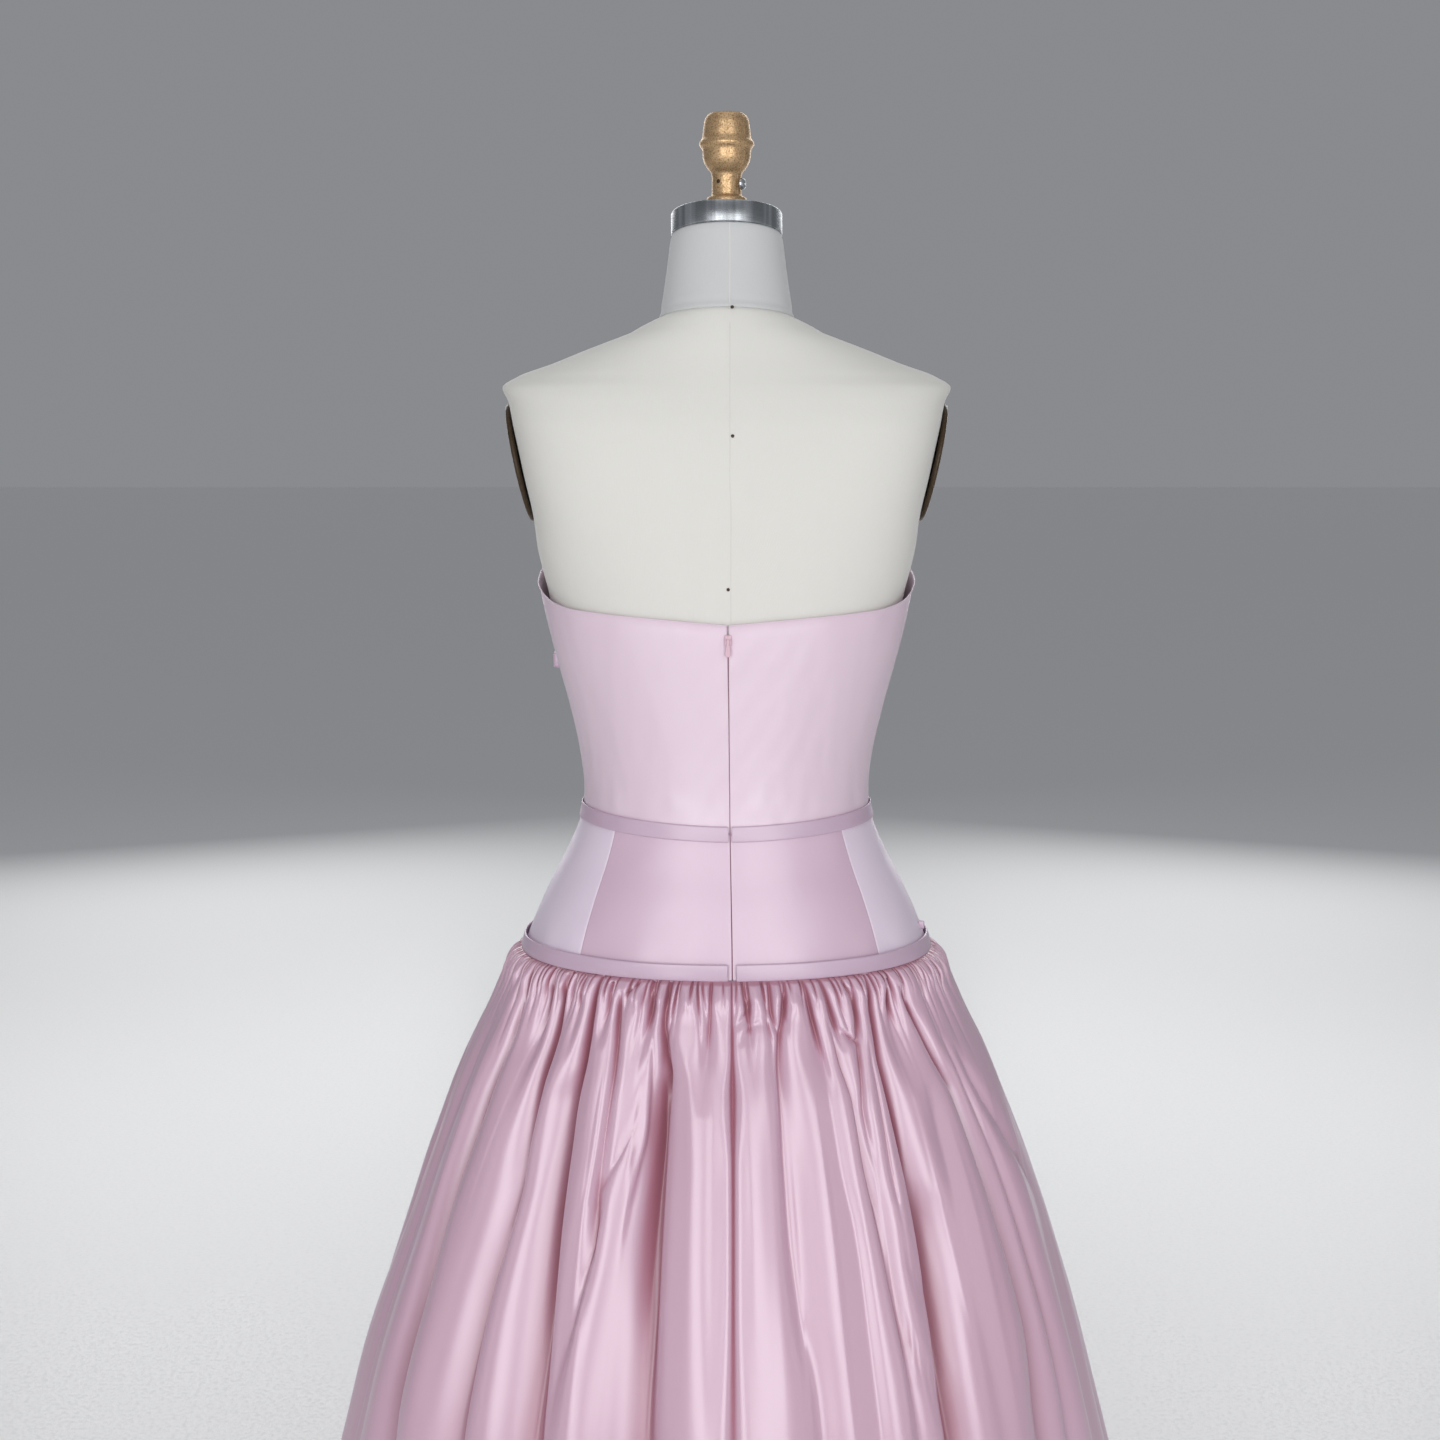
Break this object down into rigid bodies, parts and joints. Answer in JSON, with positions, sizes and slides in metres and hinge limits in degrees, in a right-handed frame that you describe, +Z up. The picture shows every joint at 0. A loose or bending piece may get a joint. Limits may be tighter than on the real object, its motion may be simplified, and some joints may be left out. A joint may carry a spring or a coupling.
{
  "type": "a-line evening dress on a limbless dress form",
  "caption": "Strapless a-line evening dress with a back zip and a gathered skirt, hung on a limbless dress form with a round base.",
  "frame": {"origin": "centre of the round base's underside, on the floor", "axes": "+Z up; -Y is the dress's front; +Y is its back, with the zip; +X is the wearer's left"},
  "size_m": [0.9301, 0.8359, 1.5883],
  "materials": {
    "satin": "pale pink satin with a soft sheen",
    "cotton_cover": "off-white woven cover, matt",
    "brushed_steel": "brushed round the cap",
    "gold_hammered": "speckled gold hammered enamel on a casting",
    "brown_board": "dark brown, satin",
    "iron_base": "dark enamel",
    "zip_pink": "pink enamel"
  },
  "bodies": {
    "dress_on_form": {"bodice_back_left": "satin", "bodice_back_right": "satin", "bodice_side_left": "satin", "bodice_side_right": "satin", "bodice_front": "satin", "waist_band": "satin", "yoke_back_left": "satin", "yoke_back_right": "satin", "yoke_side_left": "satin", "yoke_side_right": "satin", "yoke_front": "satin", "hip_band": "satin", "skirt_back_left": "satin", "skirt_back_right": "satin", "skirt_front": "satin", "side_tab_left": "satin", "hip_tab_right": "satin", "zip_slider": "zip_pink", "form_torso": "cotton_cover", "form_neck": "cotton_cover", "neck_cap": "brushed_steel", "finial": "gold_hammered", "set_screw": "brushed_steel", "arm_plate_left": "brown_board", "arm_plate_right": "brown_board", "pole": "brushed_steel", "base": "iron_base"},
    "zip_pull": {"zip_pull": "zip_pink"}
  },
  "joints": [
    {"name": "zip_pull_swing", "type": "hinge", "parent": "dress_on_form", "child": "zip_pull", "pos_m": [-0.00081, 0.10397, 1.1874], "axis": [1, 0, 0], "range_deg": [0, 150]}
  ]
}
